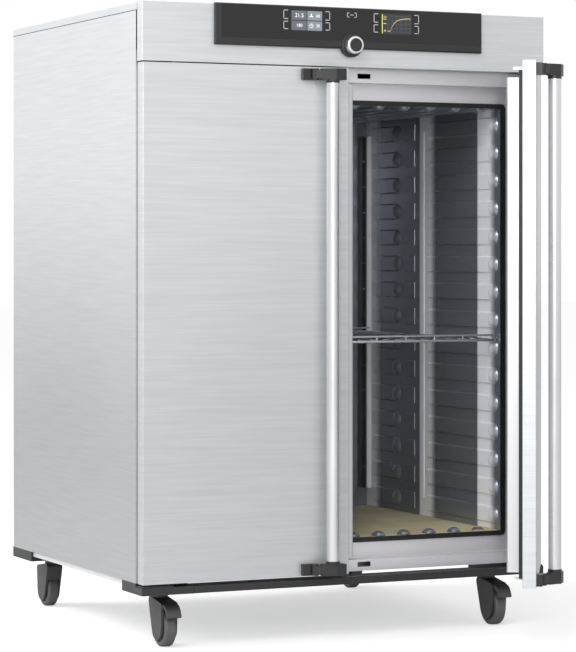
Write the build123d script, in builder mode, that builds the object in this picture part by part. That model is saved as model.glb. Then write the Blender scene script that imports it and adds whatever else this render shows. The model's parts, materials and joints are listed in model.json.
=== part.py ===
from build123d import *
import os
from math import atan, cos, degrees, radians, sin

# Two-door laboratory oven with forced air, in millimetres.
# X runs to the right seen from the front, Y to the back and Z up from the floor.
# The origin is on the floor, in the middle of the oven with its right door open.
# Heights are measured from the floor and depths from the outer face of the closed doors.

os.makedirs("parts", exist_ok=True)

# Chamber, which sets the size of everything around it
chamber_width = 1040
chamber_height = 1200
chamber_length = 850
chamber_bottom = 269
chamber_sheet = 1.5
seal_width = 13
seal_radius = 15
plenum = 40
insulation = 36

# Cabinet: the room that it leaves around the chamber, and its sheets
side_room = 92
head_room = 257
rear_room = 100
sheet = 1.5
skin_depth = 36
frame_depth = 46
recess_depth = 85
rim = 20
rim_round = 3
seam = 0.3
fascia_gap = 3.5
fascia_lap = 30
edge_round = 2
fit_gap = 0.2

# Base and castor mounting
mount_height = 152
side_bottom = 181
bar_height = 20
bar_depth = 60
corner_width = 150
corner_length = 146
rear_corner_length = 161
rail_height = 14
rail_inset = 6
rail_width = 30
pan_inset = 6
pan_rise = 24

# Doors
door_bottom = 181
door_headroom = 96
door_gap = 6
door_side_gap = 2
pivot_inset = 20
pivot_radius = 6
pivot_clearance = 0.05
pin_engagement = 14
hinge_plate = 4
plate_length = 90
open_angle = 58.4
pan_sheet = 1.2
pan_depth = 43
pan_margin = 37
pan_round = 6
seal_thickness = 9.7
seal_overlap = 13
wool_thickness = 40
window = 40
fold_reach = 34
fold_depth = 24

# Opening
strip_width = 34
sill = 30
lintel = 38

# Pressed ribs in the chamber, and how far their ends stay from its front and its end
levels = 15
first_level_rise = 41
last_level_drop = 46
rib_width = 49
rib_height = 7
rib_flank = 4.5
dome_radius = 25
dome_height = 14
front_rib_ends = (14, 415)
middle_strip_ends = (387, 331)
middle_rib_ends = (329, 263)
middle_rib_height = 2.5
rear_rib_ends = (236, 55)
strip_height = 2
rear_strip = 31
air_slot = (22, 4, 3)
baffle_slot = 18
floor_ribs = 6
floor_rib_width = 40
floor_rib_first = 68
floor_rib_margin = 52
floor_dome = (20, 12)
floor_front_ends = (15, 245)
floor_rear_ends = (208, 10)

# Grid shelf
shelf_level = 6
shelf_rod = 4
shelf_side_gap = 9
shelf_front_gap = 22
shelf_back_gap = 42
shelf_rail_rise = 14
wire = 1.6
wire_count = 25
cross_count = 5
stub_count = 12
stub_inset = 10

# Handles: distances from the door's free edge, and the arm that holds the tube
bracket_height = 31
bracket_margin = 5.5
bracket_drop = 2.5
ear = 4
ear_radius = 10.5
foot_width = 22
foot_depth = 16
handle_pin_at = (33, 17)
pin_radius = 4
knuckle_radius = 10
tube_radius = 17
tube_wall = 2
tube_out = 22
tube_along = 44
cap_height = 8
cap_margin = 1.5
arm_length = 79
handle_release = 11
left_handle_inset = 145
right_handle_inset = 13

# Latch hooks
hook_inset = 61
hook_thickness = 8
hook_travel = 8
hook_reach = 26
hook_half = 5
hook_lip = 9
hook_offset = 3
hook_clearance = 0.3
strike_slot = (18, 22, 7)

# Control panel
panel_inset = 206
panel_gap = 52
panel_overhang = 3
panel_depth = 12
panel_bevel = 3
panel_left_margin = 18
panel_right_margin = 4
panel_low_margin = 20
panel_high_margin = 3
glass_depth = 3
knob_rise = 9
knob_radius = 24.5
knob_rim = 6
knob_hollow = 2
knob_round = 4
collar_radius = 32
collar_depth = 16
knob_depth = 20
knob_gap = 0.5
push_travel = 2
shaft_radius = 4
shaft_bore = 4.05
shaft_hole = 4.2
shaft_stop = 7
display_width = 95
display_height = 56
display_drop = 12
display_spacing = 273
board_width = 440
board_height = 100

# Castors
wheel_radius = 50
wheel_width = 32
castor_inset = 106
front_castor = 137
rear_castor = 985
castor_trail = 33
castor_plate = 8
castor_plate_radius = 30
fork_gap = 2
fork_sheet = 6
stem_radius = 22
housing_rise = 82
cheek_radius = 32
cheek_corner = 12
cheek_nose = 9
tyre_clearance = 4
tyre_round = 7
dish_radius = 36
dish_depth = 4
hub_radius = 14
axle_radius = 6
pedal_pin = (28, 62)
pedal_pin_radius = 3
pedal_hub = 6
pedal_width = 41
pedal_length = 44
pedal_drop = 26

# Fan, heater, sensor, exhaust and mains inlet
fan_radius = 95
fan_hub = 18
fan_shaft = 6
blades = 12
blade_length = 50
blade_sheet = 2.5
blade_angle = 25
intake_radius = 65
motor_radius = 60
motor_round = 6
motor_room = 75
heater_rings = (115, 135)
heater_radius = 4
sensor_inset = 90
sensor_drop = 73
sensor_radius = 2.5
sensor_length = 70
sensor_foot = (9, 8)
intake_rings = ((25, 6), (45, 12), (65, 18), (85, 24))
intake_hole = 9
spigot_radius = 30
spigot_step = 1
spigot_wall = 2
spigot_out = 25
spigot_inset = 232
spigot_drop = 69
flap_setback = 32
flap_pin = 3
flap_gap = 0.4
flap_sheet = 1.5
vent_offset = 141
vent_slot = (10, 60)
vent_pitch = 28
vent_count = 9
inlet_inset = 90
inlet_rise = 70
inlet_radius = 10
inlet_reach = 12
inlet_bore = 5
inlet_nut = (15, 6)

chamber_top = chamber_bottom + chamber_height
chamber_half = chamber_width / 2
chamber_end = recess_depth + chamber_length
half = chamber_half + side_room
top = chamber_top + head_room
depth = chamber_end + rear_room
door_top = chamber_top + door_headroom
door_edge = half - door_gap / 2
reach = door_edge - pivot_inset
swing = radians(open_angle)
front_reach = reach * sin(swing) + pivot_inset * cos(swing) - pivot_inset
front = -(depth + spigot_out - front_reach) / 2
fascia_bottom = door_top + fascia_gap
panel_rise = top - rim - seam - side_bottom
seal_half = chamber_half + seal_width
recess_half = half - strip_width
recess_bottom = door_bottom + sill
recess_top = fascia_bottom - lintel
frame_top = fascia_bottom + fascia_lap
first_level = chamber_bottom + first_level_rise
level_pitch = (chamber_height - first_level_rise - last_level_drop) / (levels - 1)
floor_rib_pitch = (chamber_half - floor_rib_margin - floor_rib_first) / (floor_ribs - 1)
panel_half = half - panel_inset
panel_bottom = door_top + panel_gap
panel_top = top + panel_overhang
knob_height = panel_bottom + knob_rise
fan_height = (chamber_bottom + chamber_top) / 2
spigot_x = half - spigot_inset
spigot_z = chamber_top - spigot_drop
inlet_x = inlet_inset - half
inlet_z = side_bottom + inlet_rise
hook_at = reach - hook_inset
handle_at = {"left": reach - left_handle_inset, "right": right_handle_inset - reach}
hand = {"left": 1, "right": -1}
door_turn = {"left": 0, "right": open_angle}
release = {"left": 0, "right": handle_release}
pipe_radius = spigot_radius - spigot_step
pipe_bore = spigot_radius - spigot_wall
strip_ends = (first_level + level_pitch / 6, chamber_top - last_level_drop - sheet)


def back(distance):
    """The Y of a place this far behind the outer face of the closed doors."""
    return front + distance


def block(x, y, z, mode=Mode.ADD):
    """A box between pairs of X, depth and height."""
    with Locations(((x[0] + x[1]) / 2, back((y[0] + y[1]) / 2), (z[0] + z[1]) / 2)):
        Box(x[1] - x[0], y[1] - y[0], z[1] - z[0], mode=mode)


def bar_y(x, y, z, radius, mode=Mode.ADD):
    """A round bar along Y between two depths."""
    with Locations((x, back((y[0] + y[1]) / 2), z)):
        Cylinder(radius, y[1] - y[0], rotation=(90, 0, 0), mode=mode)


def bar_x(x, y, z, radius, mode=Mode.ADD):
    """A round bar along X."""
    with Locations(((x[0] + x[1]) / 2, back(y), z)):
        Cylinder(radius, x[1] - x[0], rotation=(0, 90, 0), mode=mode)


def bar_z(x, y, z, radius, mode=Mode.ADD):
    """A round bar along Z between two heights."""
    with Locations((x, back(y), (z[0] + z[1]) / 2)):
        Cylinder(radius, z[1] - z[0], mode=mode)


def deck(side, z):
    """A level plane at a door's hinge pin, turned with the door. X runs along the door."""
    turn = radians(door_turn[side])
    pin_x = -hand[side] * (half - pivot_inset)
    return Plane(
        origin=(pin_x, back(pivot_inset), z), x_dir=(cos(turn), sin(turn), 0), z_dir=(0, 0, 1)
    )


def door_block(side, u, w, z, mode=Mode.ADD):
    """A box on a door: u from the hinge pin to the free edge, w inwards from the pin."""
    with BuildSketch(deck(side, z[0])) as outline:
        with Locations((hand[side] * (u[0] + u[1]) / 2, (w[0] + w[1]) / 2)):
            Rectangle(u[1] - u[0], w[1] - w[0])
    extrude(outline.sketch, amount=z[1] - z[0], mode=mode)


def handle_pin(side):
    """The handle's pin on its door, in the door's own level plane."""
    return handle_at[side] + handle_pin_at[0], -pivot_inset - handle_pin_at[1]


def handle_deck(side, z):
    """A level plane at a handle's pin, turned with the handle."""
    x, y = handle_pin(side)
    place = deck(side, z).from_local_coords(Vector(x, y, 0))
    turn = radians(door_turn[side] - release[side])
    return Plane(origin=place, x_dir=(cos(turn), sin(turn), 0), z_dir=(0, 0, 1))


def level_height(index):
    """The middle of a rib level."""
    return first_level + index * level_pitch


# Cabinet sheets

for side in ("left", "right"):
    with BuildPart() as side_panel:
        with BuildSketch(Plane.XY.offset(side_bottom)):
            with BuildLine():
                inner = half - rim
                outer = half
                FilletPolyline(
                    (-hand[side] * outer, back(frame_depth)),
                    (-hand[side] * outer, back(depth - sheet)),
                    (-hand[side] * inner, back(depth - sheet)),
                    radius=2 * sheet,
                )
                offset(amount=sheet, side=Side.LEFT if side == "right" else Side.RIGHT)
            make_face()
        extrude(amount=panel_rise)
    side_panel.part.label = f"side_panel_{side}"
    export_step(side_panel.part, f"parts/side_panel_{side}.step")

with BuildPart() as top_cover:
    block((-half, half), (skin_depth + seam, depth), (top - rim, top))
    fillet(top_cover.edges().filter_by(Axis.Y).group_by(Axis.Z)[-1], radius=rim_round)
    block(
        (-half + sheet, half - sheet),
        (skin_depth + seam - 1, depth - sheet),
        (top - rim, top - sheet),
        mode=Mode.SUBTRACT,
    )
top_cover.part.label = "top_cover"
export_step(top_cover.part, "parts/top_cover.step")

with BuildPart() as rear_panel:
    block(
        (-half + sheet + fit_gap, half - sheet - fit_gap),
        (depth - sheet, depth),
        (side_bottom, side_bottom + panel_rise),
    )
    through = (depth - 2 * sheet, depth + sheet)
    bar_y(spigot_x, through, spigot_z, pipe_radius + fit_gap, mode=Mode.SUBTRACT)
    bar_y(inlet_x, through, inlet_z, inlet_radius + fit_gap, mode=Mode.SUBTRACT)
    vents = [(0, back(depth), fan_height + offset_z) for offset_z in (-vent_offset, vent_offset)]
    with Locations(*vents):
        with GridLocations(vent_pitch, 1, vent_count, 1):
            Box(vent_slot[0], 3 * sheet, vent_slot[1], mode=Mode.SUBTRACT)
rear_panel.part.label = "rear_panel"
export_step(rear_panel.part, "parts/rear_panel.step")

with BuildPart() as front_fascia:
    block((-half, half), (0, skin_depth), (fascia_bottom, top))
    fillet(front_fascia.edges().filter_by(Axis.Z).group_by(Axis.Y)[0], radius=edge_round)
    back_face = front_fascia.faces().sort_by(Axis.Y)[-1]
    offset(amount=-sheet, openings=back_face)
    bar_y(0, (-sheet, 2 * sheet), knob_height, shaft_hole, mode=Mode.SUBTRACT)
front_fascia.part.label = "front_fascia"
export_step(front_fascia.part, "parts/front_fascia.step")

with BuildPart() as bottom_pan:
    block(
        (-half + pan_inset, half - pan_inset),
        (recess_depth + sheet + seam, depth - pan_inset),
        (side_bottom, side_bottom + pan_rise),
    )
    pan_top = bottom_pan.faces().sort_by(Axis.Z)[-1]
    offset(amount=-sheet, openings=pan_top)
bottom_pan.part.label = "bottom_pan"
export_step(bottom_pan.part, "parts/bottom_pan.step")

# Base

with BuildPart() as base_front_bar:
    block(
        (-half + corner_width, half - corner_width),
        (0, bar_depth),
        (mount_height, mount_height + bar_height),
    )
    edges_along = base_front_bar.edges().filter_by(Axis.X).group_by(Axis.Y)[0]
    fillet(edges_along, radius=edge_round)
base_front_bar.part.label = "base_front_bar"
export_step(base_front_bar.part, "parts/base_front_bar.step")

with BuildPart() as base_corner_blocks:
    for hand_x in (-1, 1):
        inner = hand_x * (half - corner_width)
        outer = hand_x * half
        span = (min(inner, outer), max(inner, outer))
        block(span, (0, corner_length), (mount_height, mount_height + bar_height))
        block(span, (frame_depth + 1, corner_length), (mount_height, side_bottom))
        block(span, (depth - rear_corner_length, depth), (mount_height, side_bottom))
        rail_edge = hand_x * (half - rail_inset - rail_width - 1)
        block(
            (min(inner, rail_edge), max(inner, rail_edge)),
            (corner_length - 1, front_castor + castor_plate_radius + 3),
            (mount_height, mount_height + bar_height),
        )
    fillet(base_corner_blocks.edges().filter_by(Axis.Z).group_by(Axis.Y)[0], radius=edge_round)
base_corner_blocks.part.label = "base_corner_blocks"
export_step(base_corner_blocks.part, "parts/base_corner_blocks.step")

with BuildPart() as base_side_rails:
    for hand_x in (-1, 1):
        rail = (hand_x * (half - rail_inset - rail_width), hand_x * (half - rail_inset))
        block(
            (min(rail), max(rail)),
            (corner_length, depth - rear_corner_length),
            (side_bottom - rail_height, side_bottom),
        )
base_side_rails.part.label = "base_side_rails"
export_step(base_side_rails.part, "parts/base_side_rails.step")

# Door frame, stepped in towards the opening

hook_heights = (
    door_bottom + bracket_margin + bracket_height / 2 - hook_offset,
    door_top - bracket_margin - bracket_height / 2 + hook_offset,
)

with BuildPart() as door_frame:
    block((-half + sheet, half - sheet), (frame_depth, recess_depth + sheet), (door_bottom, frame_top))
    block(
        (-recess_half + sheet, recess_half - sheet),
        (frame_depth - 1, recess_depth + sheet + 1),
        (recess_bottom + sheet, recess_top - sheet),
        mode=Mode.SUBTRACT,
    )
    shell_back = door_frame.faces().sort_by(Axis.Y)[-1]
    offset(amount=-sheet, openings=shell_back)
    block((-recess_half, recess_half), (recess_depth, recess_depth + sheet), (recess_bottom, recess_top))
    block(
        (-seal_half, seal_half),
        (recess_depth - 1, recess_depth + sheet + 1),
        (chamber_bottom - seal_width, chamber_top + seal_width),
        mode=Mode.SUBTRACT,
    )
    for side in ("left", "right"):
        hook_x = -hand[side] * (half - pivot_inset) + hand[side] * hook_at
        for hook_z in hook_heights:
            block(
                (hook_x - strike_slot[0], hook_x + strike_slot[1]),
                (frame_depth - 1, frame_depth + sheet + 1),
                (hook_z - strike_slot[2], hook_z + strike_slot[2]),
                mode=Mode.SUBTRACT,
            )
door_frame.part.label = "door_frame"
export_step(door_frame.part, "parts/door_frame.step")

seal_front = skin_depth + pan_depth + 0.5

with BuildPart() as chamber_seal:
    with BuildSketch(Plane.XZ.offset(-back(seal_front))):
        middle = (chamber_bottom + chamber_top) / 2
        with Locations((0, middle)):
            RectangleRounded(2 * seal_half, chamber_height + 2 * seal_width, seal_radius)
            Rectangle(chamber_width, chamber_height, mode=Mode.SUBTRACT)
    extrude(amount=-(recess_depth + sheet - seal_front))
chamber_seal.part.label = "chamber_seal"
export_step(chamber_seal.part, "parts/chamber_seal.step")

# Chamber, drawn from sheet with pressed ribs


def press_ribs(plane, rows, spans, across, high):
    """Long pressed ribs on a wall, with sloping flanks and hollow from behind."""
    slope = rib_flank / rib_height
    inset = 2 * (high * slope + chamber_sheet)
    with BuildSketch(plane) as outline:
        for start, end in spans:
            with Locations(*[((start + end) / 2, row) for row in rows]):
                Rectangle(end - start, across)
    extrude(outline.sketch, amount=high, taper=degrees(atan(slope)))
    with BuildSketch(plane.offset(-2 * chamber_sheet)) as hollow:
        for start, end in spans:
            with Locations(*[((start + end) / 2, row) for row in rows]):
                Rectangle(end - start - inset, across - inset)
    extrude(hollow.sketch, amount=high + chamber_sheet, mode=Mode.SUBTRACT)


def dome(radius, height, foot):
    """A shallow dome on a level base at Z = 0, with a foot that reaches below it."""
    ball = (radius**2 + height**2) / (2 * height)
    with BuildPart() as shape:
        with Locations((0, 0, height - ball)):
            Sphere(ball)
        split(bisect_by=Plane.XY, keep=Keep.TOP)
        if foot:
            with Locations((0, 0, -foot / 2)):
                Cylinder(radius, foot)
    return shape.part


def press_domes(plane, rows, distance, size):
    """Domes at the front ends of the ribs, hollow from behind."""
    radius, height = size
    full = dome(radius, height, 0)
    hollow = dome(radius - 2 * chamber_sheet, height - chamber_sheet, 2 * chamber_sheet)
    with Locations(*[plane * Location((distance, row, 0)) for row in rows]):
        add(full)
    with Locations(*[plane * Location((distance, row, 0)) for row in rows]):
        add(hollow, mode=Mode.SUBTRACT)


front_rib = (recess_depth + front_rib_ends[0] + dome_radius, chamber_end - front_rib_ends[1])
middle_strip = (chamber_end - middle_strip_ends[0], chamber_end - middle_strip_ends[1])
middle_rib = (chamber_end - middle_rib_ends[0], chamber_end - middle_rib_ends[1])
rear_rib = (chamber_end - rear_rib_ends[0] + dome_radius, chamber_end - rear_rib_ends[1])

for side in ("left", "right"):
    inward = hand[side]
    face = -inward * chamber_half
    with BuildPart() as chamber_wall:
        block(
            (min(face, face - inward * chamber_sheet), max(face, face - inward * chamber_sheet)),
            (recess_depth + sheet, chamber_end),
            (chamber_bottom, chamber_top),
        )
        strip_face = face + inward * strip_height
        block((min(face, strip_face), max(face, strip_face)), middle_strip, strip_ends)
        block(
            (min(face, face + inward * seal_width), max(face, face + inward * seal_width)),
            (chamber_end - rear_strip, chamber_end),
            strip_ends,
        )
        wall_plane = Plane(origin=(face, front, 0), x_dir=(0, 1, 0), z_dir=(inward, 0, 0))
        rows = [inward * level_height(index) for index in range(levels)]
        press_ribs(wall_plane, rows, (front_rib, rear_rib), rib_width, rib_height)
        press_ribs(wall_plane, rows, (middle_rib,), rib_width, middle_rib_height)
        press_domes(wall_plane, rows, front_rib[0], (dome_radius, dome_height))
        press_domes(wall_plane, rows, rear_rib[0], (dome_radius, dome_height))
        slot_length, slot_height, slot_depth = air_slot
        slot_x = face + inward * (seal_width - slot_depth / 2)
        slot_y = back(chamber_end - rear_strip / 2)
        with Locations(*[(slot_x, slot_y, level_height(index)) for index in range(1, levels - 1)]):
            Box(slot_depth, slot_length, slot_height, mode=Mode.SUBTRACT)
    chamber_wall.part.label = f"chamber_wall_{side}"
    export_step(chamber_wall.part, f"parts/chamber_wall_{side}.step")

for name, height, upward in (("chamber_floor", chamber_bottom, 1), ("chamber_ceiling", chamber_top, -1)):
    with BuildPart() as chamber_deck:
        outer = height - upward * chamber_sheet
        block(
            (-chamber_half - chamber_sheet, chamber_half + chamber_sheet),
            (recess_depth + sheet, chamber_end),
            (min(height, outer), max(height, outer)),
        )
        deck_plane = Plane(origin=(0, front, height), x_dir=(0, 1, 0), z_dir=(0, 0, upward))
        right_rows = [floor_rib_first + index * floor_rib_pitch for index in range(floor_ribs)]
        rows = right_rows + [-row for row in right_rows]
        front_span = (
            recess_depth + floor_front_ends[0] + floor_dome[0],
            chamber_end - floor_front_ends[1],
        )
        rear_span = (chamber_end - floor_rear_ends[0], chamber_end - floor_rear_ends[1])
        press_ribs(deck_plane, rows, (front_span, rear_span), floor_rib_width, rib_height)
        press_domes(deck_plane, rows, front_span[0], floor_dome)
    chamber_deck.part.label = name
    export_step(chamber_deck.part, f"parts/{name}.step")

plenum_end = chamber_end + sheet + plenum

with BuildPart() as air_baffle:
    block(
        (-chamber_half - chamber_sheet, chamber_half + chamber_sheet),
        (chamber_end, chamber_end + sheet),
        (chamber_bottom - chamber_sheet, chamber_top + chamber_sheet),
    )
    for hand_x in (-1, 1):
        slot_x = hand_x * (chamber_half - seal_width - baffle_slot / 2)
        block(
            (slot_x - baffle_slot / 2, slot_x + baffle_slot / 2),
            (chamber_end - 1, chamber_end + sheet + 1),
            strip_ends,
            mode=Mode.SUBTRACT,
        )
    with BuildSketch(Plane.XZ.offset(-back(chamber_end))) as intake:
        for ring, holes in intake_rings:
            with Locations((0, fan_height)):
                with PolarLocations(ring, holes):
                    Rectangle(intake_hole, intake_hole)
    extrude(intake.sketch, amount=-sheet - 1, mode=Mode.SUBTRACT)
air_baffle.part.label = "air_baffle"
export_step(air_baffle.part, "parts/air_baffle.step")

with BuildPart() as chamber_back:
    block(
        (-chamber_half - chamber_sheet, chamber_half + chamber_sheet),
        (chamber_end + sheet, plenum_end + sheet),
        (chamber_bottom - chamber_sheet, chamber_top + chamber_sheet),
    )
    open_face = chamber_back.faces().sort_by(Axis.Y)[0]
    offset(amount=-sheet, openings=open_face)
    through = (plenum_end - sheet, plenum_end + 2 * sheet)
    bar_y(0, through, fan_height, fan_shaft + 2 * sheet, mode=Mode.SUBTRACT)
    bar_y(spigot_x, through, spigot_z, pipe_radius + fit_gap, mode=Mode.SUBTRACT)
chamber_back.part.label = "chamber_back"
export_step(chamber_back.part, "parts/chamber_back.step")

with BuildPart() as heaters:
    ring_depth = chamber_end + sheet + plenum / 2
    for ring in heater_rings:
        with Locations((0, back(ring_depth), fan_height)):
            Torus(ring, heater_radius, rotation=(90, 0, 0))
        for hand_x in (-1, 1):
            bar_y(hand_x * ring, (ring_depth, plenum_end), fan_height, heater_radius)
heaters.part.label = "heaters"
export_step(heaters.part, "parts/heaters.step")

with BuildPart() as temperature_sensor:
    sensor_x = sensor_inset - chamber_half
    sensor_z = chamber_top - sensor_drop
    bar_y(sensor_x, (chamber_end - sensor_length, chamber_end), sensor_z, sensor_radius)
    bar_y(sensor_x, (chamber_end - sensor_foot[1], chamber_end), sensor_z, sensor_foot[0])
temperature_sensor.part.label = "temperature_sensor"
export_step(temperature_sensor.part, "parts/temperature_sensor.step")

# Insulation against the chamber's outer faces

with BuildPart() as insulation_boards:
    shell = chamber_half + chamber_sheet
    low = chamber_bottom - chamber_sheet
    high = chamber_top + chamber_sheet
    reach_back = plenum_end + sheet
    board_span = (recess_depth + 2 * sheet, reach_back)
    for hand_x in (-1, 1):
        span = (hand_x * shell, hand_x * (shell + insulation))
        block((min(span), max(span)), board_span, (low, high))
    block((-shell, shell), board_span, (high, high + insulation))
    block((-shell, shell), board_span, (low - insulation, low))
    block((-shell, shell), (reach_back, reach_back + insulation), (low, high))
    through = (reach_back - 1, reach_back + insulation + 1)
    bar_y(0, through, fan_height, motor_room, mode=Mode.SUBTRACT)
    bar_y(spigot_x, through, spigot_z, spigot_radius + 2 * sheet, mode=Mode.SUBTRACT)
insulation_boards.part.label = "insulation"
export_step(insulation_boards.part, "parts/insulation.step")

# Fan

motor_front = plenum_end + sheet
motor_length = depth - sheet - motor_front
shaft_end = motor_front + motor_length / 3
fan_front = chamber_end + sheet + plenum / 6
fan_back = plenum_end - plenum / 5

with BuildPart() as fan_motor:
    bar_y(0, (motor_front, motor_front + motor_length), fan_height, motor_radius)
    fillet(fan_motor.edges().filter_by(GeomType.CIRCLE).sort_by(Axis.Y)[0], radius=motor_round)
    bar_y(
        0,
        (motor_front - 1, shaft_end + fan_shaft),
        fan_height,
        fan_shaft + pivot_clearance,
        mode=Mode.SUBTRACT,
    )
fan_motor.part.label = "fan_motor"
export_step(fan_motor.part, "parts/fan_motor.step")

with BuildPart() as fan_wheel:
    bar_y(0, (fan_back - 2, fan_back), fan_height, fan_radius)
    bar_y(0, (fan_front, fan_back), fan_height, fan_hub)
    bar_y(0, (fan_front, shaft_end), fan_height, fan_shaft)
    with BuildSketch(Plane.XZ.offset(-back(fan_front))) as blade_outline:
        with Locations((0, fan_height)):
            with PolarLocations(fan_radius - blade_length / 2 - 3, blades):
                Rectangle(blade_length, blade_sheet, rotation=blade_angle)
    extrude(blade_outline.sketch, amount=-(fan_back - fan_front))
    bar_y(0, (fan_front, fan_front + 2), fan_height, fan_radius)
    bar_y(0, (fan_front - 1, fan_front + 2), fan_height, intake_radius, mode=Mode.SUBTRACT)
    bar_y(0, (fan_front, fan_back), fan_height, fan_hub)
fan_wheel.part.label = "fan_wheel"
export_step(fan_wheel.part, "parts/fan_wheel.step")

# Exhaust pipe with its flap: the part outside the cabinet is a little thicker

flap_at = plenum_end + sheet + flap_setback
spigot_start = depth + 2

with BuildPart() as exhaust_pipe:
    bar_y(spigot_x, (plenum_end, depth + spigot_out), spigot_z, pipe_radius)
    bar_y(spigot_x, (spigot_start, depth + spigot_out), spigot_z, spigot_radius)
    bar_y(
        spigot_x,
        (plenum_end - 1, depth + spigot_out + 1),
        spigot_z,
        pipe_bore,
        mode=Mode.SUBTRACT,
    )
    pin_hole = (spigot_z - spigot_radius - 10, spigot_z + spigot_radius + 10)
    bar_z(spigot_x, flap_at, pin_hole, flap_pin + pivot_clearance, mode=Mode.SUBTRACT)
exhaust_pipe.part.label = "exhaust_pipe"
export_step(exhaust_pipe.part, "parts/exhaust_pipe.step")

with BuildPart() as air_flap:
    pin_ends = (spigot_z - spigot_radius - 1, spigot_z + spigot_radius + 1)
    bar_z(spigot_x, flap_at, pin_ends, flap_pin)
    with Locations((spigot_x, back(flap_at), spigot_z)):
        Cylinder(pipe_bore - flap_gap, flap_sheet, rotation=(0, 90, 0))
air_flap.part.label = "air_flap"
export_step(air_flap.part, "parts/air_flap.step")

# Control panel

glass_x = (panel_left_margin - panel_half, panel_half - panel_right_margin)
glass_z = (panel_bottom + panel_low_margin, panel_top - panel_high_margin)
display_z = (panel_top - display_drop - display_height, panel_top - display_drop)
display_x = (-display_spacing / 2, display_spacing / 2)


def inset(span, gap):
    """A span that is shorter by a gap at both ends."""
    return span[0] + gap, span[1] - gap


with BuildPart() as control_bezel:
    block((-panel_half, panel_half), (-panel_depth, 0), (panel_bottom, panel_top))
    chamfer(control_bezel.faces().sort_by(Axis.Y)[0].edges(), length=panel_bevel)
    block(glass_x, (-panel_depth - 1, glass_depth - panel_depth), glass_z, mode=Mode.SUBTRACT)
    bar_y(0, (-collar_depth, 0), knob_height, collar_radius)
    fillet(control_bezel.faces().sort_by(Axis.Y)[0].edges(), radius=panel_bevel)
    bar_y(0, (-collar_depth - 1, 1), knob_height, shaft_hole, mode=Mode.SUBTRACT)
control_bezel.part.label = "control_bezel"
export_step(control_bezel.part, "parts/control_bezel.step")

with BuildPart() as control_panel:
    block(inset(glass_x, fit_gap), (-panel_depth, glass_depth - panel_depth), inset(glass_z, fit_gap))
    bar_y(0, (-panel_depth - 1, 1), knob_height, collar_radius + fit_gap, mode=Mode.SUBTRACT)
    for x in display_x:
        block(
            (x - display_width / 2, x + display_width / 2),
            (-panel_depth - 1, -panel_depth + 1),
            display_z,
            mode=Mode.SUBTRACT,
        )
control_panel.part.label = "control_panel"
export_step(control_panel.part, "parts/control_panel.step")

with BuildPart() as displays:
    for x in display_x:
        block(
            inset((x - display_width / 2, x + display_width / 2), fit_gap),
            (-panel_depth, -panel_depth + 1),
            inset(display_z, fit_gap),
        )
displays.part.label = "displays"
export_step(displays.part, "parts/displays.step")

board_z = (fascia_bottom + top) / 2
board_depth = skin_depth / 3

with BuildPart() as electronics:
    with Locations((0, back(board_depth + sheet / 2), board_z)):
        Box(board_width, sheet, board_height)
    with Locations((0, back((sheet + board_depth) / 2), board_z)):
        with GridLocations(board_width - 20, 1, 2, 1):
            Cylinder(4, board_depth - sheet, rotation=(90, 0, 0))
    with Locations((board_width / 5, back(board_depth + sheet + 6), board_z)):
        Box(board_width / 7, 12, board_height / 2.5)
    with Locations((-board_width * 0.3, back(board_depth + sheet + 4), board_z)):
        Box(board_width / 6, 8, board_height * 0.6)
electronics.part.label = "electronics"
export_step(electronics.part, "parts/electronics.step")

knob_back = collar_depth + push_travel + knob_gap
knob_front = knob_back + knob_depth
shaft_front = knob_front - knob_depth / 2

with BuildPart() as knob_shaft:
    bar_y(0, (-shaft_front, 2 * sheet + seam), knob_height, shaft_radius)
    bar_y(0, (sheet + seam, 2 * sheet + seam), knob_height, shaft_stop)
knob_shaft.part.label = "knob_shaft"
export_step(knob_shaft.part, "parts/knob_shaft.step")

with BuildPart() as turn_knob:
    bar_y(0, (-knob_front, -knob_back), knob_height, knob_radius)
    fillet(turn_knob.edges().filter_by(GeomType.CIRCLE).sort_by(Axis.Y)[0], radius=knob_round)
    dish = (-knob_front - 1, knob_hollow - knob_front)
    bar_y(0, dish, knob_height, knob_radius - knob_rim, mode=Mode.SUBTRACT)
    bar_y(0, (-shaft_front - fit_gap, 0), knob_height, shaft_bore, mode=Mode.SUBTRACT)
turn_knob.part.label = "turn_knob"
export_step(turn_knob.part, "parts/turn_knob.step")

with BuildPart() as mains_inlet:
    bar_y(inlet_x, (depth - inlet_reach, depth + inlet_reach), inlet_z, inlet_radius)
    with BuildSketch(Plane.XZ.offset(-back(depth + inlet_nut[1]))) as nut:
        with Locations((inlet_x, inlet_z)):
            RegularPolygon(inlet_nut[0], 6)
    extrude(nut.sketch, amount=inlet_nut[1])
    bore_span = (depth - inlet_reach - 1, depth + inlet_reach + 1)
    bar_y(inlet_x, bore_span, inlet_z, inlet_bore, mode=Mode.SUBTRACT)
mains_inlet.part.label = "mains_inlet"
export_step(mains_inlet.part, "parts/mains_inlet.step")

# Hinge plates with their pins, fixed to the cabinet

lower_plate = (mount_height + bar_height, mount_height + bar_height + hinge_plate)
upper_plate = (fascia_bottom - hinge_plate / 2, fascia_bottom)

with BuildPart() as hinge_plates:
    for hand_x in (-1, 1):
        outer = hand_x * (half - door_side_gap)
        inner = hand_x * (half - plate_length)
        span = (min(outer, inner), max(outer, inner))
        pin_x = hand_x * (half - pivot_inset)
        block(span, (2 * sheet, frame_depth), lower_plate)
        bar_z(pin_x, pivot_inset, (lower_plate[1], door_bottom - seam), 2 * pivot_radius)
        bar_z(pin_x, pivot_inset, (lower_plate[1], door_bottom + pin_engagement), pivot_radius)
        block(span, (2 * sheet, frame_depth), upper_plate)
        bar_z(pin_x, pivot_inset, (door_top - pin_engagement, upper_plate[0]), pivot_radius)
hinge_plates.part.label = "hinge_plates"
export_step(hinge_plates.part, "parts/hinge_plates.step")

# Doors. Lengths run from the hinge pin to the free edge, depths inwards from the pin.

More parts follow.
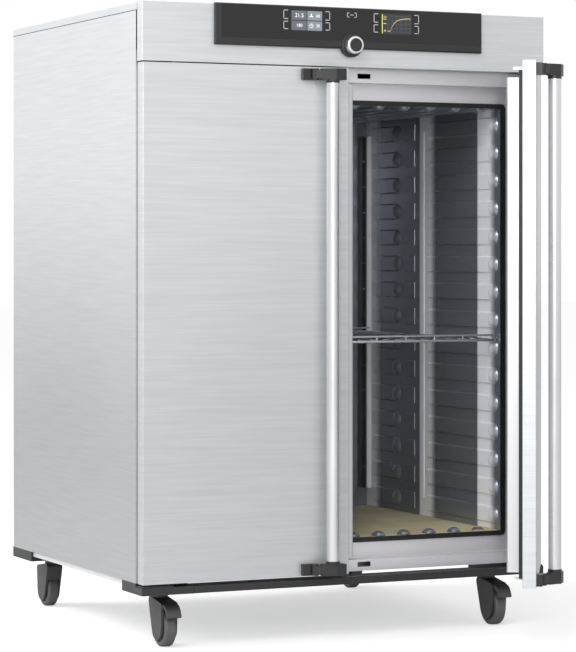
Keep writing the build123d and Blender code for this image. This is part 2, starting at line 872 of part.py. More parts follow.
skin_in = skin_depth - pivot_inset
pan_end = skin_in + pan_depth
pan_near = pan_margin - pivot_inset + 4
pan_far = reach - pan_margin
pan_low = recess_bottom + 7
pan_high = recess_top - 9
hinge_edge = door_side_gap - pivot_inset
hook_slot = (hook_at - hook_half - 3.5, hook_at + hook_half + hook_travel + 4)

for side in ("left", "right"):
    with BuildPart() as door_skin:
        outer_skin = (hinge_edge, reach)
        door_block(side, outer_skin, (-pivot_inset, skin_in), (door_bottom, door_top))
        upright = door_skin.edges().filter_by(Axis.Z)
        fillet(upright, radius=edge_round)
        door_block(
            side,
            (hinge_edge + sheet, reach - sheet),
            (-pivot_inset + sheet, skin_in - sheet),
            (door_bottom + sheet, door_top - sheet),
            mode=Mode.SUBTRACT,
        )
        door_block(
            side,
            (window, reach - 60),
            (skin_in - 2 * sheet, skin_in + sheet),
            (pan_low + 20, pan_high - 20),
            mode=Mode.SUBTRACT,
        )
        with BuildSketch(deck(side, door_bottom - 1)) as pin_hole:
            Circle(pivot_radius + pivot_clearance)
        extrude(pin_hole.sketch, amount=door_top - door_bottom + 2, mode=Mode.SUBTRACT)
        shift = 0 if side == "left" else hook_travel - 2
        for hook_z in hook_heights:
            door_block(
                side,
                (hook_slot[0] - shift, hook_slot[1] - shift),
                (skin_in - 2 * sheet, skin_in + sheet),
                inset((hook_z - hook_thickness / 2, hook_z + hook_thickness / 2), -hook_clearance),
                mode=Mode.SUBTRACT,
            )
    door_skin.part.label = f"door_skin_{side}"
    export_step(door_skin.part, f"parts/door_skin_{side}.step")

    with BuildPart() as door_pan:
        door_block(side, (pan_near, pan_far), (skin_in, pan_end), (pan_low, pan_high))
        fillet(door_pan.edges().filter_by(Axis.Z), radius=pan_round)
        door_block(
            side,
            (pan_near + pan_sheet, pan_far - pan_sheet),
            (skin_in - 1, pan_end - pan_sheet),
            (pan_low + pan_sheet, pan_high - pan_sheet),
            mode=Mode.SUBTRACT,
        )
    door_pan.part.label = f"door_pan_{side}"
    export_step(door_pan.part, f"parts/door_pan_{side}.step")

    with BuildPart() as door_seal:
        seal_w = (skin_in, skin_in + seal_thickness)
        door_block(
            side,
            (pan_near - seal_overlap, pan_far + 30),
            seal_w,
            (pan_low - seal_overlap, pan_high + seal_overlap + 5),
        )
        door_block(
            side,
            inset((pan_near, pan_far), -fit_gap),
            (skin_in - 1, skin_in + seal_thickness + 1),
            inset((pan_low, pan_high), -fit_gap),
            mode=Mode.SUBTRACT,
        )
    door_seal.part.label = f"door_seal_{side}"
    export_step(door_seal.part, f"parts/door_seal_{side}.step")

    with BuildPart() as door_wool:
        door_block(
            side,
            (window + 2, reach - 62),
            (pan_end - pan_sheet - wool_thickness, pan_end - pan_sheet),
            (pan_low + 22, pan_high - 22),
        )
    door_wool.part.label = f"door_insulation_{side}"
    export_step(door_wool.part, f"parts/door_insulation_{side}.step")

with BuildPart() as astragal:
    with BuildSketch(deck("left", pan_low)) as channel:
        with BuildLine():
            fold_in = frame_depth - pivot_inset
            FilletPolyline(
                (pan_far, fold_in + sheet),
                (reach + fold_reach, fold_in + sheet),
                (reach + fold_reach, fold_in + fold_depth),
                (pan_far, fold_in + fold_depth),
                radius=edge_round,
            )
            offset(amount=sheet, side=Side.RIGHT)
        make_face()
    extrude(channel.sketch, amount=pan_high - pan_low)
astragal.part.label = "astragal"
export_step(astragal.part, "parts/astragal.step")

# Handles: a block with two ears on the door, an arm on a pin, and a tube over the full height

bracket_bottoms = (
    door_bottom + bracket_margin - bracket_drop,
    door_top - bracket_margin - bracket_height,
)

for side in ("left", "right"):
    foot_start = handle_at[side]
    with BuildPart() as handle_mounts:
        for z in bracket_bottoms:
            with BuildSketch(deck(side, z)) as foot:
                with Locations((foot_start + foot_width / 2, -pivot_inset - foot_depth / 2)):
                    Rectangle(foot_width, foot_depth)
                with Locations((foot_start + 1.5 * foot_width, -pivot_inset - ear_radius / 4)):
                    Rectangle(foot_width, ear_radius / 2)
            extrude(foot.sketch, amount=bracket_height)
            for ear_z in (z, z + bracket_height - ear):
                with BuildSketch(deck(side, ear_z)) as ear_outline:
                    with Locations((foot_start + 1.5 * foot_width, -pivot_inset - ear_radius)):
                        Rectangle(foot_width, 2 * ear_radius)
                    with Locations(handle_pin(side)):
                        Circle(ear_radius)
                extrude(ear_outline.sketch, amount=ear)
            with BuildSketch(handle_deck(side, z + ear / 2)) as pin:
                Circle(pin_radius)
            extrude(pin.sketch, amount=bracket_height - ear)
    handle_mounts.part.label = f"handle_mounts_{side}"
    export_step(handle_mounts.part, f"parts/handle_mounts_{side}.step")

    with BuildPart() as handle_arms:
        for z, cap_up in zip(bracket_bottoms, (True, False)):
            with BuildSketch(handle_deck(side, z + ear + fit_gap)) as knuckle:
                Circle(knuckle_radius)
                with BuildLine():
                    Polyline(
                        (0, -knuckle_radius),
                        (24, -19),
                        (24, -4),
                        (0, knuckle_radius),
                        (0, -knuckle_radius),
                    )
                make_face()
            extrude(knuckle.sketch, amount=bracket_height - 2 * ear - 2 * fit_gap)
            with BuildSketch(handle_deck(side, z)) as arm:
                with BuildLine():
                    Polyline(
                        (15, -16),
                        (tube_along + 3, -tube_out - tube_radius),
                        (arm_length, -tube_out - tube_radius),
                        (arm_length, -5),
                        (tube_along, -5),
                        (15, -3),
                        (15, -16),
                    )
                make_face()
                fillet(arm.vertices().group_by(Axis.X)[-1], radius=4)
            extrude(arm.sketch, amount=bracket_height)
            cap_z = z + bracket_height if cap_up else z - cap_height
            with BuildSketch(handle_deck(side, cap_z)) as cap:
                with Locations((tube_along, -tube_out)):
                    Circle(tube_radius + cap_margin)
            extrude(cap.sketch, amount=cap_height)
            with BuildSketch(handle_deck(side, z - 10)) as bore:
                Circle(pin_radius + pivot_clearance)
            extrude(bore.sketch, amount=bracket_height + 20, mode=Mode.SUBTRACT)
    handle_arms.part.label = f"handle_arms_{side}"
    export_step(handle_arms.part, f"parts/handle_arms_{side}.step")

    tube_ends = (bracket_bottoms[0] + bracket_height + cap_height, bracket_bottoms[1] - cap_height)
    with BuildPart() as handle_tube:
        with BuildSketch(handle_deck(side, tube_ends[0])) as tube_outline:
            with Locations((tube_along, -tube_out)):
                Circle(tube_radius)
                Circle(tube_radius - tube_wall, mode=Mode.SUBTRACT)
        extrude(tube_outline.sketch, amount=tube_ends[1] - tube_ends[0])
    handle_tube.part.label = f"handle_tube_{side}"
    export_step(handle_tube.part, f"parts/handle_tube_{side}.step")

    with BuildPart() as latch_hooks:
        for hook_z in hook_heights:
            with BuildSketch(deck(side, hook_z - hook_thickness / 2)) as hook:
                x = hand[side] * hook_at
                root = skin_in - hook_thickness
                tip = skin_in + hook_reach
                with BuildLine():
                    Polyline(
                        (x - hook_half, root),
                        (x + hook_half, root),
                        (x + hook_half, tip - hook_half),
                        (x, tip),
                        (x - hook_lip, tip),
                        (x - hook_lip, tip - hook_thickness),
                        (x - hook_half, tip - hook_thickness),
                        (x - hook_half, root),
                    )
                make_face()
            extrude(hook.sketch, amount=hook_thickness)
    latch_hooks.part.label = f"latch_hooks_{side}"
    export_step(latch_hooks.part, f"parts/latch_hooks_{side}.step")

# Grid shelf

with BuildPart() as grid_shelf:
    flank_top = level_height(shelf_level) + rib_width / 2
    side_x = chamber_half - shelf_side_gap
    flank_here = flank_top - shelf_side_gap * rib_flank / rib_height
    shelf_z = flank_here + (shelf_rod + seam) / cos(atan(rib_flank / rib_height))
    shelf_front = recess_depth + shelf_front_gap
    shelf_back = chamber_end - shelf_back_gap
    side_span = (shelf_front - shelf_rod, shelf_back + shelf_rod)
    for hand_x in (-1, 1):
        bar_y(hand_x * side_x, side_span, shelf_z, shelf_rod)
    for rod_y in (shelf_front, shelf_back):
        bar_x((-side_x - 1, side_x + 1), rod_y, shelf_z, shelf_rod)
        bar_x((-side_x, side_x), rod_y, shelf_z + shelf_rail_rise, shelf_rod - 1)
        with Locations((0, back(rod_y), shelf_z + shelf_rail_rise / 2)):
            with GridLocations(2 * (side_x - stub_inset) / (stub_count - 1), 1, stub_count, 1):
                Cylinder(shelf_rod - 1.5, shelf_rail_rise)
    shelf_middle = (0, back((shelf_front + shelf_back) / 2))
    with Locations((*shelf_middle, shelf_z)):
        with GridLocations(1, (shelf_back - shelf_front) / (cross_count + 1), 1, cross_count):
            Cylinder(shelf_rod - 1, 2 * side_x, rotation=(0, 90, 0))
    with Locations((*shelf_middle, shelf_z + shelf_rod + 1.2)):
        with GridLocations(2 * side_x / (wire_count + 1), 1, wire_count, 1):
            Cylinder(wire, shelf_back - shelf_front + 4, rotation=(90, 0, 0))
grid_shelf.part.label = "grid_shelf"
export_step(grid_shelf.part, "parts/grid_shelf.step")

# Castors

castors = {
    "front_left": (-1, front_castor, -castor_trail),
    "front_right": (1, front_castor, -castor_trail),
    "rear_left": (-1, rear_castor, castor_trail),
    "rear_right": (1, rear_castor, castor_trail),
}
inner_half = wheel_width / 2 + fork_gap
outer_half = inner_half + fork_sheet


def wheel_plane(axis_x, axle_y):
    """A plane across the axle: its X runs to the back, its Y up, with the axle at its origin."""
    return Plane(origin=(axis_x, back(axle_y), wheel_radius), x_dir=(0, 1, 0), z_dir=(1, 0, 0))


for place, (hand_x, stem_y, trail) in castors.items():
    axis_x = hand_x * (half - castor_inset)
    axle_y = stem_y + trail
    ahead = -1 if trail < 0 else 1
    nose = (ahead * pedal_pin[0], pedal_pin[1])
    shoulder = (-ahead * (castor_trail + stem_radius - cheek_corner), housing_rise - cheek_corner)
    with BuildPart() as castor_fork:
        with BuildSketch(wheel_plane(axis_x, axle_y)) as cheek:
            Circle(cheek_radius)
            with Locations(nose):
                Circle(cheek_nose)
            with Locations(shoulder):
                Circle(cheek_corner)
            make_hull(cheek.edges())
        extrude(cheek.sketch, amount=outer_half, both=True)
        with BuildSketch(wheel_plane(axis_x, axle_y)) as wheel_room:
            Circle(wheel_radius + tyre_clearance)
            with Locations((0, -wheel_radius)):
                Rectangle(3 * wheel_radius, 2 * wheel_radius)
            if place.startswith("front"):
                with Locations(nose):
                    Circle(pedal_hub + 2)
                with Locations((nose[0] - pedal_length / 2, nose[1] - pedal_hub)):
                    Rectangle(pedal_length, 4 * pedal_hub)
        extrude(wheel_room.sketch, amount=inner_half, both=True, mode=Mode.SUBTRACT)
        side_span = (axis_x - outer_half, axis_x + outer_half)
        bar_x(side_span, axle_y, wheel_radius, axle_radius)
        if place.startswith("front"):
            bar_x(side_span, axle_y + nose[0], wheel_radius + nose[1], pedal_pin_radius)
        neck = (wheel_radius + housing_rise - 2, mount_height - castor_plate)
        bar_z(axis_x, stem_y, neck, stem_radius)
        bar_z(axis_x, stem_y, (neck[1], mount_height), castor_plate_radius)
    castor_fork.part.label = f"castor_fork_{place}"
    export_step(castor_fork.part, f"parts/castor_fork_{place}.step")

    with BuildPart() as castor_wheel:
        tyre_half = wheel_width / 2
        hub_half = inner_half - 0.5
        bar_x((axis_x - tyre_half, axis_x + tyre_half), axle_y, wheel_radius, wheel_radius)
        fillet(castor_wheel.edges().filter_by(GeomType.CIRCLE), radius=tyre_round)
        for end in (-1, 1):
            dish = (axis_x + end * (tyre_half - dish_depth), axis_x + end * (tyre_half + 1))
            bar_x((min(dish), max(dish)), axle_y, wheel_radius, dish_radius, mode=Mode.SUBTRACT)
        bar_x((axis_x - hub_half, axis_x + hub_half), axle_y, wheel_radius, hub_radius)
        bore = (axis_x - wheel_width, axis_x + wheel_width)
        bar_x(bore, axle_y, wheel_radius, axle_radius + pivot_clearance, mode=Mode.SUBTRACT)
    castor_wheel.part.label = f"castor_wheel_{place}"
    export_step(castor_wheel.part, f"parts/castor_wheel_{place}.step")

    if place.startswith("front"):
        pin_y = axle_y + nose[0]
        pin_z = wheel_radius + nose[1]
        pedal_side = Plane(origin=(axis_x, back(pin_y), pin_z), x_dir=(0, 1, 0), z_dir=(1, 0, 0))
        with BuildPart() as brake_pedal:
            with BuildSketch(pedal_side) as blade:
                with BuildLine():
                    Spline((0, pedal_hub), (-24, 3), (-pedal_length, -pedal_drop))
                    Line((-pedal_length, -pedal_drop), (6 - pedal_length, -pedal_drop - 3))
                    Spline((6 - pedal_length, -pedal_drop - 3), (-20, -5), (0, -1))
                    Line((0, -1), (0, pedal_hub))
                make_face()
            extrude(blade.sketch, amount=pedal_width / 2, both=True)
            with BuildSketch(pedal_side) as cheek_room:
                Circle(cheek_nose + 1)
                Rectangle(2 * cheek_nose + 2, 4 * cheek_nose)
            extrude(cheek_room.sketch, amount=outer_half, both=True, mode=Mode.SUBTRACT)
            with BuildSketch(pedal_side) as hub:
                Circle(pedal_hub)
                with BuildLine():
                    Polyline(
                        (0, pedal_hub), (-cheek_nose - 4, 5), (-cheek_nose - 4, 0), (0, -1), (0, pedal_hub)
                    )
                make_face()
            extrude(hub.sketch, amount=inner_half - 0.3, both=True)
            pin_span = (axis_x - inner_half, axis_x + inner_half)
            bore_radius = pedal_pin_radius + pivot_clearance
            bar_x(pin_span, pin_y, pin_z, bore_radius, mode=Mode.SUBTRACT)
        brake_pedal.part.label = f"brake_pedal_{place}"
        export_step(brake_pedal.part, f"parts/brake_pedal_{place}.step")
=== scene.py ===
# %% [markdown]
# # A two-door oven with forced air
#
# The finished sheets, tubes and castors come as solids that were drawn at their real size.
# This lesson dresses them: it gives every sheet its finish, prints the control panel, fits the
# screws, and lights the oven the way a product is lit in a white studio.
# All lengths are in metres. X runs to the right seen from the front, Y to the back, Z upwards.

# %% Load the solids
import json
from math import cos, exp, pi, radians, sin, tau

import bmesh
import bpy
from mathutils import Matrix, Vector


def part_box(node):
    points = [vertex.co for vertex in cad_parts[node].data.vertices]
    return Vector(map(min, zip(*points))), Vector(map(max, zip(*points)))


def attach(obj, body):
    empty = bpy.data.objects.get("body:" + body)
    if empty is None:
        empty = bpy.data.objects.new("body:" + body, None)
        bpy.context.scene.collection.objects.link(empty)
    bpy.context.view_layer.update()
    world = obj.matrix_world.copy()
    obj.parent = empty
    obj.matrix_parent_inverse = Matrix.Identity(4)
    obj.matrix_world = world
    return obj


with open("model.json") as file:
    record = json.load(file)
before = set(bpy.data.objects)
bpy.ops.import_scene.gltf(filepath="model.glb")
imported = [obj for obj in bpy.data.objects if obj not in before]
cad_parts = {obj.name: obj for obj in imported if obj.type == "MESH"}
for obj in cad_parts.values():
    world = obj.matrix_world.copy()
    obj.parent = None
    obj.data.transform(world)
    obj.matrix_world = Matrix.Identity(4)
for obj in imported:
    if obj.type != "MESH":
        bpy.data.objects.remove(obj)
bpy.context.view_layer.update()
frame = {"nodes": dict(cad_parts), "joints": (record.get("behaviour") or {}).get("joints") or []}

# %% [markdown]
# ## Where things are
#
# The main places are read from the boxes of the pieces that carry them, so that the looks follow
# the solids when they change. Small marks have sizes of their own, measured from those places.
# The right door stands open, so its own direction is worked out from the range of its hinge.

# %% Read the places
joints = {joint["name"]: joint for joint in frame["joints"]}
door_turn = radians(-joints["door_right_hinge"]["range_deg"][0])
along_right_door = Vector((cos(door_turn), sin(door_turn), 0))
cabinet_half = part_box("front_fascia")[1].x
print("open door turned by", round(door_turn, 3), "rad")

# %% [markdown]
# ## Camera
#
# The photograph was taken from the left, about a metre above the floor, with the camera held
# level. A level camera keeps upright edges parallel. The picture takes in the castors by moving
# the frame down, not by tilting the camera, and this is what the vertical shift does.

# %% Place the camera
picture_height = 652
camera_place = Vector((-3.2427, -6.8424, 1.0677))
view_yaw = radians(24.98)
focal_pixels = 2672
horizon_row = 249.8
sensor_height = 36
farthest_seen = 200

camera_data = bpy.data.cameras.new("camera")
camera_data.sensor_fit = "VERTICAL"
camera_data.sensor_height = sensor_height
camera_data.lens = focal_pixels * sensor_height / picture_height
camera_data.shift_y = (horizon_row - picture_height / 2) / picture_height
camera_data.clip_end = farthest_seen
camera = bpy.data.objects.new("camera", camera_data)
camera.location = camera_place
camera.rotation_euler = (pi / 2, 0, -view_yaw)
bpy.context.scene.collection.objects.link(camera)
bpy.context.scene.camera = camera
print("lens", round(camera_data.lens, 1), "mm, shift", round(camera_data.shift_y, 4))

# %% [markdown]
# ## Helpers for finishes
#
# A finish is a small graph of nodes. Most of them are sums of waves and noise in the oven's own
# coordinates, so the helpers below keep each recipe down to a few lines. A value that is the same
# all over a surface is typed into the shader itself. Noise rarely leaves the middle of its range.

# %% Node helpers
usual_noise = (0.3, 0.7)


def new_finish(name, colour, roughness, metallic=0.0):
    """A material with its shader, its node tree and its coordinates in metres."""
    material = bpy.data.materials.new(name)
    material.use_nodes = True
    tree = material.node_tree
    shader = tree.nodes["Principled BSDF"]
    shader.inputs["Base Color"].default_value = (*colour, 1)
    shader.inputs["Roughness"].default_value = roughness
    shader.inputs["Metallic"].default_value = metallic
    place = tree.nodes.new("ShaderNodeTexCoord").outputs["Object"]
    return material, tree, shader, place


def feed(tree, socket, value):
    """Links a socket to a socket, or types a number or a vector into it."""
    if isinstance(value, bpy.types.NodeSocket):
        tree.links.new(value, socket)
    else:
        socket.default_value = value


def calculate(tree, operation, first, second=0.0):
    """One Math node."""
    node = tree.nodes.new("ShaderNodeMath")
    node.operation = operation
    feed(tree, node.inputs[0], first)
    feed(tree, node.inputs[1], second)
    return node.outputs[0]


def along(tree, place, direction):
    """How far a point lies along a direction."""
    node = tree.nodes.new("ShaderNodeVectorMath")
    node.operation = "DOT_PRODUCT"
    feed(tree, node.inputs[0], place)
    node.inputs[1].default_value = direction
    return node.outputs["Value"]


def wave(tree, distance, pitch):
    """A sine wave of that pitch along a distance."""
    return calculate(tree, "SINE", calculate(tree, "MULTIPLY", distance, tau / pitch))


def noise(tree, place, scale, detail=2.0, stretch=(1, 1, 1)):
    """Cloudy noise. Stretch makes it finer along an axis."""
    mapping = tree.nodes.new("ShaderNodeMapping")
    mapping.inputs["Scale"].default_value = stretch
    feed(tree, mapping.inputs["Vector"], place)
    node = tree.nodes.new("ShaderNodeTexNoise")
    node.inputs["Scale"].default_value = scale
    node.inputs["Detail"].default_value = detail
    feed(tree, node.inputs["Vector"], mapping.outputs[0])
    return node.outputs["Fac"]


def spread(tree, value, low, high, to_low, to_high, smooth=False):
    """Maps a value's range onto another one and holds it at the ends."""
    node = tree.nodes.new("ShaderNodeMapRange")
    node.interpolation_type = "SMOOTHSTEP" if smooth else "LINEAR"
    feed(tree, node.inputs["Value"], value)
    ends = {"From Min": low, "From Max": high, "To Min": to_low, "To Max": to_high}
    for socket, end in ends.items():
        node.inputs[socket].default_value = end
    return node.outputs["Result"]


def mixed(tree, factor, first, second):
    """A colour between two colours."""
    node = tree.nodes.new("ShaderNodeMix")
    node.data_type = "RGBA"
    feed(tree, node.inputs["Factor"], factor)
    for socket, colour in ((node.inputs[6], first), (node.inputs[7], second)):
        feed(tree, socket, colour if isinstance(colour, bpy.types.NodeSocket) else (*colour, 1))
    return node.outputs[2]


def raise_surface(tree, shader, height, distance):
    """Lets a height that is worked out by nodes tilt the surface."""
    bump = tree.nodes.new("ShaderNodeBump")
    bump.inputs["Distance"].default_value = distance
    feed(tree, bump.inputs["Height"], height)
    tree.links.new(bump.outputs[0], shader.inputs["Normal"])


def tinted(colour, factor):
    """A lighter or darker copy of a colour."""
    return tuple(min(1.0, channel * factor) for channel in colour)


# %% [markdown]
# ## Patterned sheet for the cabinet
#
# The outer sheets are rolled between patterned rollers, so they carry a fine net of dimples that
# hides finger marks. Two crossed waves make that net, and long level streaks lie over it. The net
# tilts the surface, and both shift its colour by a few per cent. The front and the sides get painted
# shade low down: a darker colour where the sheet would mirror the floor's shade. The sheet is metal,
# but the dimples scatter the light, so it stays pale from every side.

# %% Patterned sheet
sheet_colour = (0.63, 0.645, 0.66)
darkest, lightest = 0.92, 1.05
sheet_roughness = (0.34, 0.44)
sheet_metal = 0.5
net_pitch = 0.0052
net_share = 0.25
streak_range = (0.1, 0.9)
net_height = 0.00006
cloud_scale = 1.6
streak_stretch = (5, 5, 170)
# Painted shade: below these heights the front and side sheets get a darker colour.
painted_shade_heights = (0.45, 1.45)
front_painted_shade, side_painted_shade = 0.86, 0.7


def patterned_sheet(name, first, second, painted_shade=1.0):
    """Rolled sheet whose net of dimples runs along two directions, with painted shade low down."""
    material, tree, shader, place = new_finish(name, sheet_colour, sheet_roughness[1], sheet_metal)
    net = calculate(
        tree,
        "MULTIPLY",
        wave(tree, along(tree, place, first), net_pitch),
        wave(tree, along(tree, place, second), net_pitch),
    )
    clouds = noise(tree, place, cloud_scale)
    streaks = noise(tree, place, 1.0, 3.0, streak_stretch)
    shade = calculate(tree, "MULTIPLY_ADD", net, net_share)
    tree.links.new(spread(tree, streaks, *usual_noise, *streak_range), shade.node.inputs[2])
    above = mixed(tree, shade, *(tinted(sheet_colour, end) for end in (darkest, lightest)))
    # Painted shade: the lower part takes a darker copy of the colour, for the floor's mirrored
    # shade.
    below = mixed(tree, shade, *(tinted(sheet_colour, end * painted_shade) for end in (darkest, lightest)))
    height = spread(tree, along(tree, place, upward), *painted_shade_heights, 0, 1, True)
    tree.links.new(mixed(tree, height, below, above), shader.inputs["Base Color"])
    tree.links.new(spread(tree, clouds, *usual_noise, *sheet_roughness), shader.inputs["Roughness"])
    raise_surface(tree, shader, net, net_height)
    return material


across_x, across_y, upward = Vector((1, 0, 0)), Vector((0, 1, 0)), Vector((0, 0, 1))
sheets = {
    "sheet_front": patterned_sheet("sheet_front", across_x, upward, front_painted_shade),
    "sheet_side": patterned_sheet("sheet_side", across_y, upward, side_painted_shade),
    "sheet_top": patterned_sheet("sheet_top", across_x, across_y),
    "sheet_open_door": patterned_sheet("sheet_open_door", along_right_door, upward),
}
print("sheets:", *sheets)

# %% [markdown]
# ## Plain steel
#
# The door frame, the door pans and the strip between the doors are smooth satin steel. It is
# brushed along its length, and that is noise which is stretched very long in one direction.
# The chamber is made of bright rolled sheet. It mirrors the dark space around it, so it looks
# dark. In the photograph its walls catch the light in three upright bands, each with a soft front
# edge and a sharp rear one. There the light is painted into the walls' colour as pale bands, and
# the sheet is also more matt. A band is laid out along a slanted line, so that it looks straight
# from the front left where it crosses a dome.

# %% Satin and bright steel
roughness_swing = 0.06
brushed_clouds = 4.0


def brushed(name, colour, roughness, stretch, metallic=0.9, streaks=0.05, grain=0.00002):
    """Steel with fine lines. Stretch is large across the lines and small along them."""
    material, tree, shader, place = new_finish(name, colour, roughness, metallic)
    lines = noise(tree, place, 1.0, 4.0, stretch)
    clouds = noise(tree, place, brushed_clouds)
    colour_out = mixed(tree, lines, tinted(colour, 1 - streaks), tinted(colour, 1 + streaks))
    tree.links.new(colour_out, shader.inputs["Base Color"])
    low, high = roughness - roughness_swing, roughness + roughness_swing
    tree.links.new(spread(tree, clouds, *usual_noise, low, high), shader.inputs["Roughness"])
    raise_surface(tree, shader, lines, grain)
    return material


satin_frame = brushed("satin_frame", (0.76, 0.75, 0.78), 0.42, (6, 900, 900), 0.75)
satin_door = brushed("satin_door", (0.66, 0.655, 0.67), 0.42, (900, 900, 6), 0.7)
satin_tube = brushed("satin_tube", (0.72, 0.715, 0.73), 0.33, (900, 900, 4), 0.75, 0.03)
bright_zinc = brushed("bright_zinc", (0.62, 0.63, 0.64), 0.4, (300, 300, 300), 0.85)
pale_rail = brushed("pale_rail", (0.78, 0.77, 0.79), 0.4, (900, 6, 900), 0.6)
hook_coat = brushed("hook_coat", (0.86, 0.86, 0.84), 0.4, (200, 200, 200), 0.1, 0.02)

wall_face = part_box("chamber_wall_right")[0].x
chamber_colour = (0.29, 0.31, 0.345)
# Painted light: the pale colour of the bands where the chamber walls catch the light.
painted_light_colour = (0.95, 0.96, 1.0)
wall_roughness, band_roughness = 0.26, 0.5
wall_metal, band_metal = 0.6, 0.05
band_slant = 1.79
soft_edge, sharp_edge = 0.022, 0.004
wall_tints = (0.92, 1.08)
wall_grain = 0.00001


def bright_wall(name, painted_light_spans):
    """Bright rolled chamber sheet, more matt and with painted light in upright bands by its pressed
    edges.
    """
    material, tree, shader, place = new_finish(name, chamber_colour, wall_roughness, wall_metal)
    slanted = along(tree, place, Vector((-band_slant, 1, 0)))
    depth = calculate(tree, "ADD", slanted, band_slant * wall_face)
    light = None
    for start, end in painted_light_spans:
        rise = spread(tree, depth, start - soft_edge, start + soft_edge, 0, 1, True)
        fall = spread(tree, depth, end - sharp_edge, end + sharp_edge, 1, 0, True)
        band = calculate(tree, "MULTIPLY", rise, fall)
        light = band if light is None else calculate(tree, "MAXIMUM", light, band)
    lines = noise(tree, place, 1.0, 4.0, (900, 5, 900))
    colour = mixed(tree, lines, *(tinted(chamber_colour, end) for end in wall_tints))
    if light is not None:
        # Painted light: the bands mix a pale colour into the wall's colour.
        colour = mixed(tree, light, colour, painted_light_colour)
        roughness = spread(tree, light, 0, 1, wall_roughness, band_roughness)
        tree.links.new(roughness, shader.inputs["Roughness"])
        tree.links.new(spread(tree, light, 0, 1, wall_metal, band_metal), shader.inputs["Metallic"])
    tree.links.new(colour, shader.inputs["Base Color"])
    raise_surface(tree, shader, lines, wall_grain)
    return material


chamber_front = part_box("chamber_seal")[0].y
painted_light_ends = ((0.028, 0.115), (0.388, 0.472), (0.750, 0.830))
painted_light_bands = [(chamber_front + start, chamber_front + end) for start, end in painted_light_ends]
chamber_sides = bright_wall("chamber_sides", painted_light_bands)
chamber_rear = brushed("chamber_rear", (0.20, 0.21, 0.23), 0.35, (900, 5, 900), 0.6)
chamber_plain = bright_wall("chamber_plain", ())
shelf_wire = brushed("shelf_wire", (0.62, 0.63, 0.67), 0.25, (200, 200, 200), 1.0)
print("chamber starts at", round(chamber_front, 3))

# %% [markdown]
# ## Plastic, rubber and the rest
#
# Black mouldings have a fine leathery grain from their mould, which noise gives. Rubber is duller.
# The panel is glossy, like glass over black print, so it needs almost no roughness at all.

# %% Mouldings
moulded_clouds = 9.0
smoother, rougher = 0.05, 0.07


def moulded(name, colour, roughness, grain_scale=700.0, grain=0.00004, variation=0.12):
    """Moulded plastic or rubber with an even grain."""
    material, tree, shader, place = new_finish(name, colour, roughness)
    grains = noise(tree, place, grain_scale, 3.0)
    clouds = noise(tree, place, moulded_clouds)
    colour_out = mixed(tree, clouds, tinted(colour, 1 - variation), tinted(colour, 1 + variation))
    tree.links.new(colour_out, shader.inputs["Base Color"])
    low, high = roughness - smoother, roughness + rougher
    tree.links.new(spread(tree, clouds, *usual_noise, low, high), shader.inputs["Roughness"])
    raise_surface(tree, shader, grains, grain)
    return material


black_plastic = moulded("black_plastic", (0.018, 0.018, 0.019), 0.42)
castor_plastic = moulded("castor_plastic", (0.052, 0.052, 0.054), 0.45)
tyre_rubber = moulded("tyre_rubber", (0.095, 0.095, 0.097), 0.55, 300.0)
black_rubber = moulded("black_rubber", (0.004, 0.004, 0.0045), 0.5, 500.0)
panel_gloss = moulded("panel_gloss", (0.004, 0.004, 0.005), 0.08, 60.0, 0.0, 0.05)
motor_cast = moulded("motor_cast", (0.16, 0.165, 0.17), 0.5, 260.0, 0.0001)
mineral_wool = moulded("mineral_wool", (0.62, 0.56, 0.36), 0.9, 180.0, 0.0012, 0.3)
circuit_green = moulded("circuit_green", (0.02, 0.10, 0.05), 0.35, 60.0)
heater_sheath = brushed("heater_sheath", (0.33, 0.28, 0.24), 0.4, (200, 200, 200), 0.9)
ring_metal = brushed("ring_metal", (0.82, 0.82, 0.83), 0.24, (400, 400, 400), 0.95, 0.02)
screen_glass = moulded("screen_glass", (0.030, 0.034, 0.042), 0.12, 60.0, 0.0, 0.05)

# %% [markdown]
# ## Give each solid its finish
#
# One table says which finish each piece wears. The left and right pieces share a line.

# %% Dress the solids
finish_of = {
    "air_baffle": chamber_plain,
    "air_flap": chamber_plain,
    "astragal": satin_door,
    "base_corner_blocks": black_plastic,
    "base_front_bar": black_plastic,
    "base_side_rails": pale_rail,
    "bottom_pan": bright_zinc,
    "chamber_back": chamber_rear,
    "chamber_ceiling": chamber_plain,
    "chamber_floor": chamber_plain,
    "chamber_seal": black_rubber,
    "control_bezel": black_plastic,
    "control_panel": panel_gloss,
    "displays": screen_glass,
    "door_frame": satin_frame,
    "electronics": circuit_green,
    "exhaust_pipe": bright_zinc,
    "fan_motor": motor_cast,
    "fan_wheel": bright_zinc,
    "front_fascia": sheets["sheet_front"],
    "grid_shelf": shelf_wire,
    "heaters": heater_sheath,
    "hinge_plates": black_plastic,
    "insulation": mineral_wool,
    "knob_shaft": bright_zinc,
    "mains_inlet": black_plastic,
    "rear_panel": sheets["sheet_front"],
    "temperature_sensor": bright_zinc,
    "top_cover": sheets["sheet_top"],
    "turn_knob": ring_metal,
    "door_skin_left": sheets["sheet_front"],
    "door_skin_right": sheets["sheet_open_door"],
}
for side in ("left", "right"):
    finish_of |= {
        f"chamber_wall_{side}": chamber_sides,
        f"door_insulation_{side}": mineral_wool,
        f"door_pan_{side}": satin_door,
        f"door_seal_{side}": black_rubber,
        f"handle_arms_{side}": black_plastic,
        f"handle_mounts_{side}": black_plastic,
        f"handle_tube_{side}": satin_tube,
        f"latch_hooks_{side}": hook_coat,
        f"side_panel_{side}": sheets["sheet_side"],
    }
for place_name in ("front_left", "front_right", "rear_left", "rear_right"):
    finish_of[f"castor_fork_{place_name}"] = castor_plastic
    finish_of[f"castor_wheel_{place_name}"] = tyre_rubber
